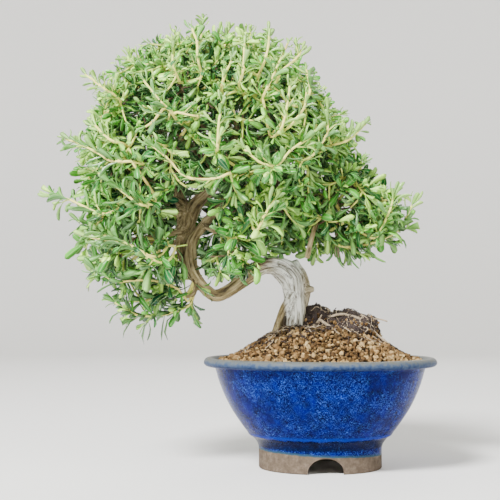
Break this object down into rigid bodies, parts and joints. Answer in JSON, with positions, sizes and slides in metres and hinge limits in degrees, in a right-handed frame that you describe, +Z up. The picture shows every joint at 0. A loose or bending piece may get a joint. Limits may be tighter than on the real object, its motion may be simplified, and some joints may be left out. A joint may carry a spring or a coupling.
{
  "type": "coprosma bonsai in a glazed bowl",
  "caption": "Small-leaved coprosma bonsai with a looping trunk and a domed crown, standing in coarse grit in a round blue glazed bowl on a clay foot.",
  "frame": {"origin": "on the surface the bowl stands on, under the middle of the whole plant's bounding box", "axes": "+Z up, +X to the right as seen from the front, where the bare trunk and one foot arch show, +Y to the back"},
  "size_m": [0.283, 0.1926, 0.3387],
  "materials": {
    "bowl_glaze": "gloss",
    "net_plastic": "matte",
    "grit": "matte",
    "root_fibre": "matte",
    "bark": "matte",
    "leaf": "satin"
  },
  "bodies": {
    "root": {"pot": "bowl_glaze", "drain_net": "net_plastic", "soil": "grit", "root_mat": "root_fibre", "trunk": "bark", "spray_01": "leaf", "spray_02": "leaf", "spray_03": "leaf", "spray_04": "leaf", "spray_05": "leaf", "spray_06": "leaf", "spray_07": "leaf", "spray_08": "leaf", "spray_09": "leaf", "spray_10": "leaf", "spray_11": "leaf", "spray_12": "leaf", "spray_13": "leaf", "spray_14": "leaf", "spray_15": "leaf", "spray_16": "leaf", "spray_17": "leaf", "spray_18": "leaf", "spray_19": "leaf", "spray_20": "leaf", "spray_21": "leaf", "spray_22": "leaf", "spray_23": "leaf", "spray_24": "leaf", "spray_25": "leaf", "spray_26": "leaf", "spray_27": "leaf", "spray_28": "leaf", "spray_29": "leaf", "spray_30": "leaf", "spray_31": "leaf", "spray_32": "leaf", "spray_33": "leaf", "spray_34": "leaf", "spray_35": "leaf", "spray_36": "leaf", "spray_37": "leaf", "spray_38": "leaf", "spray_39": "leaf", "spray_40": "leaf", "spray_41": "leaf", "spray_42": "leaf", "spray_43": "leaf", "spray_44": "leaf"}
  },
  "joints": []
}
